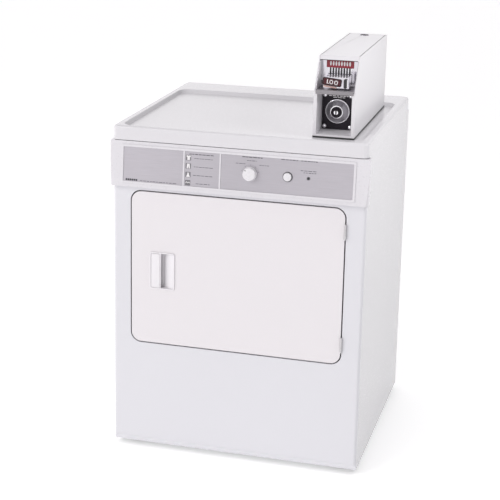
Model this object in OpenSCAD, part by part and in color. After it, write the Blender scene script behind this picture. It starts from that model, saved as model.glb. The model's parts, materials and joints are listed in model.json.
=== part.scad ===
// Coin-operated tumble dryer. Millimetres, +X to the right, -Y to the front, +Z up, floor at z = 0.

/* [Cabinet] */
// Width of the cabinet
cab_w = 683; // [680:1:700]
// Height of the rim of the top panel above the floor
cab_h = 914; // [910:1:925]
// Thickness of the cabinet's sheet steel
sheet = 1.5; // [1.2:0.1:1.6]
// Height of the cabinet's bottom edge above the floor
foot_h = 14; // [12:1:18]
// Depth of the recess in the top panel
top_recess = 9; // [6:1:10]

/* [Door] */
// Width of the door
door_w = 578; // [570:1:580]
// Height of the door
door_h = 423; // [418:1:425]
// Corner radius of the door
door_r = 26.5; // [20:0.5:30]
// Width of the loading port
port_w = 430; // [400:5:430]
// Height of the loading port
port_h = 300; // [280:5:300]

/* [Console] */
// Height of the console's bottom edge above the floor
console_z = 752; // [750:1:753]
// How far the console's bottom edge stands in front of the cabinet
console_proud = 15; // [13:1:16]
// Diameter of the selector knob
knob_d = 37; // [34:1:42]
// Diameter of the start button
button_d = 21.6; // [20:0.1:25]
// Travel of the start button
button_travel = 4; // [3:0.5:4]

/* [Coin meter] */
// Width of the meter case
meter_w = 108; // [106:1:110]
// Height of the meter case
meter_h = 204; // [200:1:206]
// Height of the case's upright front
meter_front_h = 118; // [117:1:119]
// Number of coin slots in the slide
coin_slots = 8; // [4:1:8]
// Diameter of the vault lock ring
ring_d = 64; // [56:1:66]

/* [Drum] */
// Outer radius of the drum
drum_r = 310; // [305:1:310]
// Number of lifting baffles
baffles = 3; // [2:1:4]
// Height of the drum's axis above the floor
drum_z = 535; // [534:1:536]

/* [Drive and air] */
// Radius of the motor pulley
motor_pulley_r = 9; // [8:0.5:10]
// Radius of the idler pulley
idler_r = 22; // [20:1:22]
// Outer radius of the exhaust duct
exhaust_r = 50.5; // [49:0.5:50.5]

/* [Hidden] */
$fn = 64;

// Clearances: a running fit, and a gap between pieces that pass each other
run_fit = 0.05;
gap = 0.4;

// Cabinet planes
half_w = cab_w / 2;
front_y = -330;
back_y = 330;
skin_y = back_y - sheet;          // inner face of the rear panel
inner_x = half_w - sheet;         // inner face of a side panel
return_y = -312;                  // rear edge of the front panel's side returns
seam_z = cab_h - 38;              // joint between the top panel and the side panels
corner_r = 8;
toe_h = 20;
toe_y = -318;
pan_z = 30;                       // underside of the base pan
pan_top = pan_z + sheet;

// Levelling legs
leg_x = 290;
leg_front_y = -270;
leg_rear_y = 285;
leg_r = 5;

// Door and its recess
door_x = -1;
door_z = 526.5;
door_gap = 3.5;
open_w = door_w + 2 * door_gap;
open_h = door_h + 2 * door_gap;
open_r = door_r + door_gap;
door_y = front_y - 0.5;           // outer face of the door
liner_y = -311;                   // outer face of the door's inner panel
flange_y = -306;                  // face that the door seal closes on
port_r = 60;

// Hinges
hinge_x = door_x + door_w / 2 + door_gap / 2;
hinge_y = front_y - 3.6;
hinge_z = [369.5, 677.5];
hinge_h = 40;
knuckle_r = 3.2;
pin_r = 1.6;
leaf_t = 1.2;
knuckle_h = 13.4;                 // height of the door leaf's knuckle

// Handle cup
cup_x = -203.5;
cup_z = 521.5;
cup_w = 66;
cup_h = 100;
cup_y = -313.5;                   // rear face of the cup
grip_w = 29;                      // width of the grip plate
scoop_w = 31;                     // width of the hollow scoop

// Catch and door switch
catch_x = -251;
switch_x = 250;
switch_z = 700;

// Console
console_w = 694;
console_top = seam_z - 2;
console_t = 2.5;
face_low_y = front_y - console_proud;
face_top_y = front_y - 4;
face_tilt = atan((face_top_y - face_low_y) / (console_top - console_z));
face_z = 813;                     // height of the centre line of the controls
face_y = face_low_y + (face_z - console_z) * tan(face_tilt);
fascia_x = -1.5;
fascia_w = 619;
fascia_h = 94;
fascia_t = 1.5;
knob_x = 36.5;
knob_stem_r = 3;
button_x = 136;
lens_x = 190.5;
lens_r = 3;
bar_x = [-143, -44.5];

// Top panel
top_y = front_y - 6;              // front face of the top panel
top_t = 2;
top_r = 14;
top_edge_r = 7;
top_wall_h = 33;                  // upright part of the top panel's edge
deck_z = cab_h - top_recess;      // floor of the recess
ledge_y = 202;                    // foot of the slope up to the rear ledge

// Drum
drum_front_y = -262;
drum_back_y = 203.5;
drum_t = 1.5;
lip_r = 282;
collar_r = 274;
bulk_y = -276;                    // front face of the front bulkhead
rear_bulk_y = 222;                // front face of the rear bulkhead
shaft_r = 10;

// Lint filter
filter_w = 240;
filter_y = -292;
filter_t = 12;
filter_z = 236;

// Drive, in the plane seen from the front
motor = [190, 130];
motor_r = 62;
motor_y = -112;
motor_back_y = 36;
motor_shaft_r = 6;
idler = [100, 148];
pivot = [20, 120];
idler_axle_r = 5;
pivot_r = 6;
belt_y = 56;
belt_w = 8;
belt_t = 2;

// Air path
duct_x = 140;                     // half width of the duct under the lint filter
duct_y = -303;
duct_top_z = 226;                 // top of the duct's lower box
scroll_r = 98;
scroll_y = -206;
scroll_back_y = -134;
exhaust = [-40, 95];
exhaust_end_y = back_y + 28;

// Heater
heater_r = 190;
heater_back_y = 275;

// Rear panel fittings
cover_x = 235;
cover_z = 715;
inlet_z = 600;
inlet_r = 14;

// Coin meter
meter_x = 235.5;
meter_y = -265;
meter_back_y = 197;
gasket_t = 3;
case_z = deck_z + gasket_t;
case_top = case_z + meter_h;
case_t = 3;
break_z = case_z + meter_front_h; // top of the upright front
slant_y = meter_y + 53.4;         // front edge of the case's flat top
pocket_y = -212;                  // rear of the vault pocket
plate_w = 81;
plate_h = 96;
vault_z = case_z + 60;
lock_r = 14;
slide_w = 62;
slide_h = 26;
slide_z = break_z + 11;           // underside of the slide
slide_front_y = -246;
chute_y = -200;                   // front face of the chute's upright plate
chute_back_y = -58;
slot_w = 3;
slot_pitch = 7.2;
lid_t = 3;
lid_lock_x = 230;
lid_lock_y = 165;
lid_lock_r = 10;

// Colours
white = "white";
steel = "gainsboro";
zinc = "darkgray";
black = "dimgray";
chrome = "silver";

// ---------- Shared shapes ----------

// Box between two corners
module span(lo, hi) {
    translate(lo) cube(hi - lo);
}

// Rectangle with round corners, centred
module round_rect(w, h, r) {
    square([w, h - 2 * r], center = true);
    square([w - 2 * r, h], center = true);
    for (sx = [-1, 1], sy = [-1, 1]) {
        translate([sx * (w / 2 - r), sy * (h / 2 - r)]) circle(r);
    }
}

// An outline drawn in X and Z, extruded from y0 to y1
module along_y(y0, y1) {
    translate([0, y1, 0]) rotate([90, 0, 0]) linear_extrude(y1 - y0) children();
}

// An outline drawn in Y and Z, extruded from x0 to x1
module along_x(x0, x1) {
    translate([x0, 0, 0]) rotate([90, 0, 90]) linear_extrude(x1 - x0) children();
}

// Cylinder along Y, centred at x and z
module rod_y(y0, y1, r, x = 0, z = 0) {
    translate([x, y0, z]) rotate([-90, 0, 0]) cylinder(h = y1 - y0, r = r);
}

// Tube along Y
module tube_y(y0, y1, r, bore, x = 0, z = 0) {
    difference() {
        rod_y(y0, y1, r, x, z);
        rod_y(y0 - 1, y1 + 1, bore, x, z);
    }
}

// Rounded rectangle at the door's centre, from y0 to y1
module door_block(y0, y1, w, h, r) {
    along_y(y0, y1) translate([door_x, door_z]) round_rect(w, h, r);
}

// Wall that follows a rounded rectangle at the door's centre
module door_ring(y0, y1, w, h, r, t) {
    difference() {
        door_block(y0, y1, w, h, r);
        door_block(y0 - 1, y1 + 1, w - 2 * t, h - 2 * t, r - t);
    }
}

// Places a shape on the console's sloping face: local +Z points out of it
module on_face(x) {
    translate([x, face_y, face_z]) rotate([90 - face_tilt, 0, 0]) children();
}

// ---------- Cabinet ----------

module base_pan() {
    rim_h = 18;
    color(steel) difference() {
        union() {
            span([-inner_x, return_y + 2, pan_z], [inner_x, skin_y, pan_top]);
            for (s = [-1, 1]) {
                x = s > 0 ? inner_x - sheet : -inner_x;
                span([x, return_y + 2, pan_top], [x + sheet, skin_y, pan_top + rim_h]);
            }
            span([-inner_x, return_y + 2, pan_top], [inner_x, return_y + 2 + sheet, pan_top + rim_h]);
            for (x = [-leg_x, leg_x], y = [leg_front_y, leg_rear_y]) {
                translate([x, y, pan_z - 6]) cylinder(h = 16, r = 10);
            }
        }
        for (x = [-leg_x, leg_x], y = [leg_front_y, leg_rear_y]) {
            translate([x, y, 0]) cylinder(h = 60, r = leg_r + run_fit);
        }
    }
}

module leg(x, y) {
    pad_h = 8;
    color(black) translate([x, y, 0]) {
        cylinder(h = 2, r1 = 17, r2 = 19);
        translate([0, 0, 2]) cylinder(h = pad_h - 2, r = 19);
        translate([0, 0, pad_h]) cylinder(h = 7, r = 11, $fn = 6);
        translate([0, 0, pad_h]) cylinder(h = 58, r = leg_r);
    }
}

module leg_front_left() { leg(-leg_x, leg_front_y); }
module leg_front_right() { leg(leg_x, leg_front_y); }
module leg_rear_left() { leg(-leg_x, leg_rear_y); }
module leg_rear_right() { leg(leg_x, leg_rear_y); }

// Right-hand side panel with front, rear and top flanges
module side_panel() {
    flange = 18;
    y0 = return_y + 0.5;
    low_z = pan_top + 22;
    color(white) {
        span([inner_x, y0, foot_h], [half_w, skin_y, seam_z]);
        span([inner_x - flange, y0, low_z], [inner_x, y0 + sheet, seam_z - sheet]);
        span([inner_x - flange, skin_y - sheet, low_z], [inner_x, skin_y, seam_z - sheet]);
        span([inner_x - flange, y0, seam_z - sheet], [inner_x, skin_y, seam_z]);
    }
}

module side_panel_left() { mirror([1, 0, 0]) side_panel(); }
module side_panel_right() { side_panel(); }

screw_spots = concat(
    [for (x = [-half_w + 10, half_w - 10], z = [90, 290, 490, 690, 850]) [x, z]],
    [for (x = [-160, 160]) [x, seam_z - 14]]
);

module rear_panel() {
    color(steel) difference() {
        span([-half_w, skin_y, foot_h], [half_w, back_y, seam_z]);
        rod_y(skin_y - 1, back_y + 1, exhaust_r + 1, exhaust[0], exhaust[1]);
        rod_y(skin_y - 1, back_y + 1, inlet_r, cover_x, inlet_z);
        along_y(skin_y - 1, back_y + 1) translate([cover_x, cover_z]) square([80, 110], center = true);
        for (s = [-1, 1], i = [0 : 8]) {
            along_y(skin_y - 1, back_y + 1) translate([s * 95, 380 + 24 * i]) round_rect(110, 8, 3.9);
        }
        for (p = screw_spots) rod_y(skin_y - 1, back_y + 1, 2, p[0], p[1]);
    }
}

module panel_screws() {
    color(chrome) for (p = screw_spots) {
        rod_y(skin_y, back_y, 2, p[0], p[1]);
        translate([p[0], back_y, p[1]]) rotate([-90, 0, 0]) cylinder(h = 2.2, r1 = 4.2, r2 = 3);
    }
}

// Plan of the cabinet's front corners, set in by t
module front_plan(t) {
    r = corner_r - t;
    translate([-half_w + t, front_y + corner_r]) square([cab_w - 2 * t, 60]);
    translate([-half_w + corner_r, front_y + t]) square([cab_w - 2 * corner_r, 60]);
    for (s = [-1, 1]) translate([s * (half_w - corner_r), front_y + corner_r]) circle(r);
}

// Front sheet with rounded corners and side returns, a toe bevel, a door recess and the loading port
module front_panel() {
    z_toe = foot_h + toe_h;
    color(white) {
        difference() {
            translate([0, 0, foot_h]) linear_extrude(console_z - foot_h) difference() {
                front_plan(0);
                front_plan(sheet);
                translate([-half_w, return_y]) square([cab_w, 60]);
            }
            along_x(-half_w - 1, half_w + 1) polygon([
                [front_y - 5, foot_h - 1], [toe_y, foot_h - 1], [toe_y, foot_h],
                [front_y, z_toe], [front_y - 5, z_toe]
            ]);
            door_block(front_y - 1, front_y + sheet + 0.5, open_w, open_h, open_r);
        }
        intersection() {
            along_x(-half_w + sheet, half_w - sheet) polygon([
                [front_y, z_toe], [toe_y, foot_h], [toe_y + sheet, foot_h], [front_y + sheet, z_toe]
            ]);
            linear_extrude(z_toe) front_plan(0);
        }
        door_ring(front_y, flange_y, open_w + 2 * sheet, open_h + 2 * sheet, open_r + sheet, sheet);
        difference() {
            door_block(flange_y, flange_y + sheet, open_w + 2 * sheet, open_h + 2 * sheet, open_r + sheet);
            door_block(flange_y - 1, flange_y + sheet + 1, port_w, port_h, port_r);
            rod_y(flange_y - 1, flange_y + sheet + 1, 8, catch_x, cup_z);
            rod_y(flange_y - 1, flange_y + sheet + 1, 3.5, switch_x, switch_z);
        }
    }
}

// Corner of the top panel: an upright edge that rounds over at the top
module top_corner(inset) {
    r = top_r - inset;
    e = top_edge_r - inset;
    rotate_extrude($fn = 32) intersection() {
        union() {
            square([r, top_wall_h]);
            square([r - e, top_wall_h + e]);
            translate([r - e, top_wall_h]) circle(e, $fn = 24);
        }
        square(60);
    }
}

// Whole outer form of the top panel, set in by t
module top_form(t) {
    hull() for (sx = [-1, 1], y = [top_y + top_r, back_y - top_r]) {
        translate([sx * (half_w - top_r), y, cab_h - top_wall_h - top_edge_r]) top_corner(t);
    }
}

// Recess of the top panel, grown by t
module deck_pocket(t) {
    low_w = cab_w - 48 + 2 * t;
    hull() {
        translate([0, (top_y + 17 + ledge_y) / 2, deck_z - t]) linear_extrude(0.1)
            round_rect(low_w, ledge_y - top_y - 17 + 2 * t, 26);
        translate([0, (top_y + 12 + ledge_y + 14) / 2, cab_h]) linear_extrude(1)
            round_rect(low_w + 8, ledge_y + 14 - top_y - 12 + 2 * t, 30);
    }
}

module top_panel() {
    color(white) difference() {
        top_form(0);
        deck_pocket(0);
        difference() {
            top_form(top_t);
            deck_pocket(top_t);
        }
        span([-half_w - 1, top_y - 1, 0], [half_w + 1, back_y + 1, seam_z]);
    }
}

// ---------- Console ----------

// Plan of the console, set in by t
module console_plan(t) {
    r = 10;
    w = console_w / 2;
    translate([-w + t, face_low_y + r]) square([console_w - 2 * t, return_y - face_low_y - r]);
    translate([-w + r, face_low_y + t]) square([console_w - 2 * r, return_y - face_low_y - t]);
    for (s = [-1, 1]) translate([s * (w - r), face_low_y + r]) circle(r - t);
}

// Side outline of the console, set in by t and open at the back
module console_side(t) {
    polygon([
        [face_low_y + t, console_z + t], [face_top_y + t, console_top - t],
        [return_y + t, console_top - t], [return_y + t, console_z + t]
    ]);
}

module console_form(t) {
    intersection() {
        along_x(-console_w / 2 - 1, console_w / 2 + 1) console_side(t);
        translate([0, 0, console_z - 1]) linear_extrude(console_top - console_z + 2) console_plan(t);
    }
}

module console_panel() {
    color(white) difference() {
        console_form(0);
        console_form(console_t);
        span([-inner_x - 2, return_y - 4, console_z + console_t],
             [inner_x + 2, return_y + 1, console_top - console_t]);
        on_face(fascia_x) translate([0, 0, -fascia_t]) linear_extrude(9) round_rect(fascia_w, fascia_h, 2);
        on_face(knob_x) translate([0, 0, -10]) cylinder(h = 20, r = 8);
        on_face(button_x) translate([0, 0, -10]) cylinder(h = 20, r = button_d / 2 + 2);
        on_face(lens_x) translate([0, 0, -10]) cylinder(h = 20, r = lens_r);
    }
}

module fascia() {
    color(chrome) difference() {
        on_face(fascia_x) translate([0, 0, -fascia_t]) linear_extrude(fascia_t)
            round_rect(fascia_w, fascia_h, 2);
        on_face(knob_x) translate([0, 0, -10]) cylinder(h = 20, r = 5);
        on_face(button_x) translate([0, 0, -10]) cylinder(h = 20, r = button_d / 2 + gap);
        on_face(lens_x) translate([0, 0, -10]) cylinder(h = 20, r = lens_r);
    }
}

// Raised rim round the fascia, with its two divider bars
module fascia_frame() {
    rim = 5;
    bar_w = 4;
    color(white) {
        on_face(fascia_x) linear_extrude(1.8) difference() {
            round_rect(fascia_w + 2 * rim, fascia_h + 2 * rim, 4);
            round_rect(fascia_w - 2, fascia_h - 2, 2);
        }
        for (x = bar_x) on_face(x) translate([-bar_w / 2, -fascia_h / 2, 0]) cube([bar_w, fascia_h, 1.4]);
    }
}

// Bodies of the cycle selector, the start switch and the indicator lamp
module control_switches() {
    color(black) {
        on_face(knob_x) translate([0, 0, -44]) difference() {
            translate([-22, -22, 0]) cube([44, 44, 32]);
            translate([0, 0, 4]) cylinder(h = 60, r = knob_stem_r + run_fit);
        }
        on_face(button_x) translate([0, 0, -44]) difference() {
            translate([-14, -14, 0]) cube([28, 28, 26]);
            translate([0, 0, 16 - button_travel - 1]) cylinder(h = 60, r = 4.5);
        }
        on_face(lens_x) translate([-7, -7, -30]) cube([14, 14, 16]);
    }
}

module selector_knob() {
    r = knob_d / 2;
    color(white) on_face(knob_x) {
        difference() {
            union() {
                translate([0, 0, 1]) cylinder(h = 3, r = r);
                translate([0, 0, 4]) cylinder(h = 11, r1 = r - 0.6, r2 = r - 1.6);
                translate([0, 0, 15]) cylinder(h = 2, r1 = r - 1.6, r2 = r - 3.6);
            }
            rotate(135) translate([r - 6.5, -1.2, 16.2]) cube([7, 2.4, 2]);
        }
        translate([0, 0, -38]) cylinder(h = 40, r = knob_stem_r);
    }
}

module start_button() {
    r = button_d / 2;
    color(white) on_face(button_x) {
        translate([0, 0, -12]) cylinder(h = 17, r = r);
        translate([0, 0, 5]) cylinder(h = 1.2, r1 = r, r2 = r - 1.2);
        translate([0, 0, -28]) cylinder(h = 16, r = 4);
    }
}

module indicator_lens() {
    color(black) on_face(lens_x) {
        translate([0, 0, -14]) cylinder(h = 14, r = lens_r);
        cylinder(h = 1.5, r1 = lens_r, r2 = lens_r - 0.8);
    }
}

// ---------- Door ----------

module door_outer() {
    color(white) {
        difference() {
            door_block(door_y, door_y + sheet, door_w, door_h, door_r);
            along_y(door_y - 1, door_y + sheet + 1) translate([cup_x, cup_z]) round_rect(cup_w, cup_h, 4);
        }
        door_ring(door_y, liner_y, door_w, door_h, door_r, sheet);
    }
}

// Inner panel with a dished middle
module door_inner() {
    dish = 8;
    dish_w = port_w - 110;
    dish_h = port_h - 30;
    color(white) {
        difference() {
            door_block(liner_y, liner_y + sheet, door_w, door_h, door_r);
            door_block(liner_y - 1, liner_y + sheet + 1, dish_w, dish_h, 50);
        }
        difference() {
            door_block(liner_y - dish, liner_y + sheet, dish_w + 2 * sheet, dish_h + 2 * sheet, 50 + sheet);
            door_block(liner_y - dish + sheet, liner_y + sheet + 1, dish_w, dish_h, 50);
        }
    }
}

// Seal on the inner panel, round the loading port
module door_seal() {
    seal_t = flange_y - liner_y - sheet - 0.3;
    y0 = liner_y + sheet;
    color(black) {
        door_ring(y0, y0 + seal_t, port_w + 30, port_h + 30, port_r + 12, 8);
    }
}

// Recessed cup: grip plate on the left, finger slot, then a scoop that slopes back to the surface
module handle_cup() {
    t = 1.5;
    lip = 2;
    x0 = cup_x - cup_w / 2;
    x1 = cup_x + cup_w / 2;
    slot_z = cup_h - 2 * t;
    scoop_d = cup_y - t - door_y;
    color(white) {
        difference() {
            union() {
                along_y(door_y - 1.2, door_y) translate([cup_x, cup_z])
                    round_rect(cup_w + 2 * lip, cup_h + 2 * lip, 6);
                along_y(door_y, cup_y) translate([cup_x, cup_z]) round_rect(cup_w, cup_h, 4);
            }
            along_y(door_y + 2, cup_y - t) translate([cup_x, cup_z])
                round_rect(cup_w - 2 * t, slot_z, 3);
            span([x0 + grip_w, door_y - 3, cup_z - slot_z / 2], [x1 - t, cup_y - t, cup_z + slot_z / 2]);
        }
        translate([x1 - t, door_y, cup_z - slot_z / 2]) linear_extrude(slot_z) polygon(concat(
            [[0, scoop_d]], [for (u = [0 : 0.125 : 1]) [-scoop_w * u, scoop_d * pow(u, 1.6)]]
        ));
    }
}

module door_strike() {
    y0 = liner_y + sheet;
    color(chrome) {
        rod_y(y0, y0 + 2, 9, catch_x, cup_z);
        rod_y(y0, y0 + 11, 3, catch_x, cup_z);
        rod_y(y0 + 8, y0 + 13, 4.5, catch_x, cup_z);
    }
}

module door_catch() {
    y0 = flange_y + sheet;
    color(black) difference() {
        span([catch_x - 13, y0, cup_z - 15], [catch_x + 13, y0 + 16, cup_z + 15]);
        rod_y(y0 - 1, y0 + 13, 8, catch_x, cup_z);
    }
}

// Two hinge leaves on the cabinet, each with its end knuckles and its pin
module hinge_frame_leaves() {
    x0 = hinge_x + door_gap / 2 - leaf_t;
    color(chrome) for (z = hinge_z) {
        z0 = z - hinge_h / 2;
        z1 = z + hinge_h / 2;
        end_h = (hinge_h - knuckle_h) / 2 - 0.3;
        span([x0, front_y, z0], [x0 + leaf_t, -308, z1]);
        for (zk = [z0, z1 - end_h]) {
            translate([hinge_x, hinge_y, zk]) cylinder(h = end_h, r = knuckle_r);
            span([x0, hinge_y, zk], [x0 + leaf_t, front_y, zk + end_h]);
        }
        translate([hinge_x, hinge_y, z0 - 1.5]) cylinder(h = hinge_h + 3, r = pin_r);
    }
}

module hinge_door_leaves() {
    x0 = hinge_x - door_gap / 2;
    color(chrome) for (z = hinge_z) difference() {
        union() {
            span([x0, front_y, z - hinge_h / 2], [x0 + leaf_t, liner_y - 1, z + hinge_h / 2]);
            span([x0, hinge_y, z - knuckle_h / 2], [x0 + leaf_t, front_y, z + knuckle_h / 2]);
            translate([hinge_x, hinge_y, z - knuckle_h / 2]) cylinder(h = knuckle_h, r = knuckle_r);
        }
        translate([hinge_x, hinge_y, z - hinge_h]) cylinder(h = 2 * hinge_h, r = pin_r + run_fit);
    }
}

module door_switch() {
    y0 = flange_y + sheet;
    color(black) difference() {
        span([switch_x - 11, y0, switch_z - 14], [switch_x + 11, y0 + 22, switch_z + 14]);
        rod_y(y0 - 1, y0 + 20, 3 + run_fit, switch_x, switch_z);
    }
}

module switch_plunger() {
    color(white) rod_y(liner_y + sheet + 0.3, flange_y + 16, 3, switch_x, switch_z);
}

// ---------- Drum and bulkheads ----------

// Plate that closes the drum's mouth, with the port tunnel, the lint grille and the drum collar
module front_bulkhead() {
    color(steel) {
        difference() {
            union() {
                span([-inner_x, bulk_y, duct_top_z], [inner_x, bulk_y + sheet, seam_z - 10]);
                tube_y(bulk_y, bulk_y + 32, collar_r, collar_r - sheet, 0, drum_z);
            }
            door_block(bulk_y - 1, bulk_y + sheet + 1, port_w, port_h, port_r);
            for (i = [-7 : 7]) {
                along_y(bulk_y - 1, bulk_y + sheet + 1) translate([14 * i, 325]) round_rect(7, 76, 3.4);
            }
        }
        difference() {
            door_ring(flange_y + sheet, bulk_y, port_w + 2 * sheet, port_h + 2 * sheet, port_r + sheet, sheet);
            span([-filter_w / 2 - 3, filter_y - 1, 300],
                 [filter_w / 2 + 3, filter_y + filter_t + 1, 400]);
        }
    }
}

module front_felt() {
    color("tan") tube_y(bulk_y + sheet, drum_front_y - 0.3, lip_r + 18, lip_r - 4, 0, drum_z);
}

module rear_bulkhead() {
    color(steel) difference() {
        span([-inner_x, rear_bulk_y, 160], [inner_x, rear_bulk_y + sheet, seam_z - 10]);
        rod_y(rear_bulk_y - 1, rear_bulk_y + 3, 30, 0, drum_z);
        for (i = [0 : 11]) {
            a = 30 * i + 15;
            rod_y(rear_bulk_y - 1, rear_bulk_y + 3, 18, 130 * cos(a), drum_z + 130 * sin(a));
        }
    }
}

module rear_bearing() {
    color(zinc) difference() {
        union() {
            rod_y(rear_bulk_y - 6, rear_bulk_y + 16, 30, 0, drum_z);
            rod_y(rear_bulk_y + sheet, rear_bulk_y + 6, 44, 0, drum_z);
        }
        rod_y(rear_bulk_y - 10, rear_bulk_y + 20, shaft_r + run_fit, 0, drum_z);
    }
}

module drum_shell() {
    color(steel) {
        tube_y(drum_front_y, drum_back_y, drum_r, drum_r - drum_t, 0, drum_z);
        tube_y(drum_front_y, drum_front_y + drum_t, drum_r - drum_t, lip_r, 0, drum_z);
    }
}

module drum_back() {
    color(steel) difference() {
        rod_y(drum_back_y - drum_t, drum_back_y, drum_r - drum_t, 0, drum_z);
        for (ring = [0 : 2], i = [0 : 17]) {
            a = 20 * i + 10 * ring;
            r = 110 + 34 * ring;
            rod_y(drum_back_y - 5, drum_back_y + 5, 7, r * cos(a), drum_z + r * sin(a));
        }
    }
}

module drum_baffles() {
    foot = 46;
    crest = 16;
    reach = 250;
    color(steel) for (i = [0 : baffles - 1]) {
        along_y(drum_front_y + 22, drum_back_y - 12) translate([0, drum_z]) rotate(360 * i / baffles + 90)
            intersection() {
                circle(drum_r - drum_t, $fn = 128);
                polygon([[drum_r, -foot], [reach + 8, -crest], [reach, -crest / 2],
                         [reach, crest / 2], [reach + 8, crest], [drum_r, foot]]);
            }
    }
}

module drum_shaft() {
    color(chrome) {
        rod_y(drum_back_y, drum_back_y + 5, 40, 0, drum_z);
        rod_y(drum_back_y, rear_bulk_y + 24, shaft_r, 0, drum_z);
    }
}

// ---------- Lint filter and air path ----------

// Frame with two windows, a screen and a pull handle
module lint_filter() {
    h = 146;
    w = filter_w;
    y1 = filter_y + filter_t;
    win_w = w / 2 - 9;
    color(white) {
        difference() {
            span([-w / 2, filter_y, filter_z], [w / 2, y1, filter_z + h]);
            for (x = [-w / 2 + 6, 3]) {
                span([x, filter_y - 1, filter_z + 8], [x + win_w, y1 + 1, filter_z + h - 8]);
            }
        }
        for (x = [-w / 2 + 6, 3]) {
            span([x, filter_y + 5.5, filter_z + 8], [x + win_w, filter_y + 6.5, filter_z + h - 8]);
        }
        span([-60, filter_y + 2, filter_z + h], [60, y1 - 2, filter_z + h + 9]);
    }
}

// Duct from the lint filter down to the blower's inlet
module air_duct() {
    t = 2;
    top_z = door_z - port_h / 2 - sheet;
    color(zinc) difference() {
        union() {
            span([-duct_x, duct_y, duct_top_z - 4], [duct_x, bulk_y, top_z]);
            span([60, duct_y, 38], [278, scroll_y, duct_top_z]);
        }
        span([-duct_x + t, duct_y + t, duct_top_z], [duct_x - t, bulk_y + 1, top_z - t]);
        span([60 + t, duct_y + t, 38 + t], [278 - t, scroll_y - t, duct_top_z - 4]);
        span([60 + t, duct_y + t, duct_top_z - 10], [duct_x - t, bulk_y - 1, duct_top_z + 10]);
        span([-filter_w / 2 - 3, filter_y - 1, 300], [filter_w / 2 + 3, filter_y + filter_t + 1, 400]);
        rod_y(scroll_y - 5, scroll_y + 1, 56, motor[0], motor[1]);
    }
}

// Outline of the blower scroll and its outlet, set in by t
module scroll_plan(t) {
    translate(motor) circle(scroll_r - t, $fn = 96);
    translate([exhaust[0] - 55 + t, exhaust[1] - 55 + t])
        square([motor[0] - exhaust[0] + 55 - t, 110 - 2 * t]);
}

module blower_housing() {
    t = 2;
    color(zinc) difference() {
        along_y(scroll_y, scroll_back_y) scroll_plan(0);
        along_y(scroll_y + t, scroll_back_y - t) scroll_plan(t);
        rod_y(scroll_y - 1, scroll_y + t + 1, 56, motor[0], motor[1]);
        rod_y(scroll_back_y - t - 1, scroll_back_y + 1, 9, motor[0], motor[1]);
        rod_y(scroll_back_y - t - 1, scroll_back_y + 1, exhaust_r, exhaust[0], exhaust[1]);
    }
}

module blower_wheel() {
    wheel_r = 84;
    y0 = scroll_y + 10;
    y1 = scroll_back_y - 12;
    color(black) translate([motor[0], 0, motor[1]]) difference() {
        union() {
            rod_y(y1 - 2, y1, wheel_r);
            rod_y(y0 + 10, y1, 16);
            tube_y(y0, y0 + 3, wheel_r, 58);
            for (i = [0 : 19]) {
                rotate([0, 18 * i, 0]) translate([56, y0, -1]) cube([wheel_r - 57, y1 - y0, 2]);
            }
        }
        rod_y(y0 - 1, y1 + 1, motor_shaft_r);
    }
}

// Duct from the blower to the rear, with a slightly smaller collar behind the cabinet
module exhaust_duct() {
    collar_y = back_y + 2;
    color(steel) {
        tube_y(scroll_back_y - 2, collar_y, exhaust_r, exhaust_r - 1, exhaust[0], exhaust[1]);
        tube_y(collar_y - 1, exhaust_end_y, exhaust_r - 0.7, exhaust_r - 1.5, exhaust[0], exhaust[1]);
    }
}

// ---------- Drive ----------

module motor_housing() {
    color(black) translate([motor[0], 0, motor[1]]) difference() {
        union() {
            rod_y(motor_y + 14, motor_back_y - 14, motor_r);
            rod_y(motor_y, motor_back_y, motor_r - 8);
        }
        rod_y(motor_y - 1, motor_back_y + 1, motor_shaft_r + run_fit);
    }
}

// Cradle under the motor, and the post that carries the idler arm's pivot
module motor_bracket() {
    color(steel) {
        span([motor[0] - 56, motor_y + 6, pan_top], [motor[0] + 56, motor_back_y - 2, pan_top + 2]);
        for (y = [motor_y + 20, motor_back_y - 24]) difference() {
            span([motor[0] - 50, y, pan_top], [motor[0] + 50, y + 4, motor[1] - 20]);
            rod_y(y - 1, y + 5, motor_r, motor[0], motor[1]);
        }
        span([pivot[0] - 6, 38, pan_top], [pivot[0] + 34, 70, pan_top + 2]);
        span([pivot[0] - 6, 38, pan_top], [pivot[0] + 34, 41, pivot[1] + 12]);
        rod_y(41, 54, pivot_r, pivot[0], pivot[1]);
        rod_y(38, 43.6, pivot_r + 3, pivot[0], pivot[1]);
    }
}

module motor_shaft() {
    pulley_y = belt_y - 4;
    color(chrome) translate([motor[0], 0, motor[1]]) {
        rod_y(scroll_y + 16, pulley_y, motor_shaft_r);
        rod_y(pulley_y, pulley_y + belt_w + 8, motor_pulley_r);
        for (y = [pulley_y - 2, pulley_y + belt_w + 8]) rod_y(y, y + 2, motor_pulley_r + 4);
    }
}

module idler_arm() {
    d = idler - pivot;
    color(steel) difference() {
        union() {
            along_y(44, 48) {
                translate(pivot) circle(12);
                translate(idler) circle(10);
                translate(pivot) rotate(atan2(d[1], d[0])) translate([0, -8]) square([norm(d), 16]);
            }
            rod_y(46, 73, idler_axle_r, idler[0], idler[1]);
        }
        rod_y(40, 50, pivot_r + run_fit, pivot[0], pivot[1]);
    }
}

module idler_pulley() {
    color(black) translate([idler[0], 0, idler[1]]) difference() {
        union() {
            rod_y(50, 70, idler_r);
            for (y = [50, 68]) rod_y(y, y + 2, idler_r + 4);
        }
        rod_y(40, 80, idler_axle_r + run_fit);
        tube_y(49, 53, idler_r - 4, 10);
        tube_y(67, 71, idler_r - 4, 10);
    }
}

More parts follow.
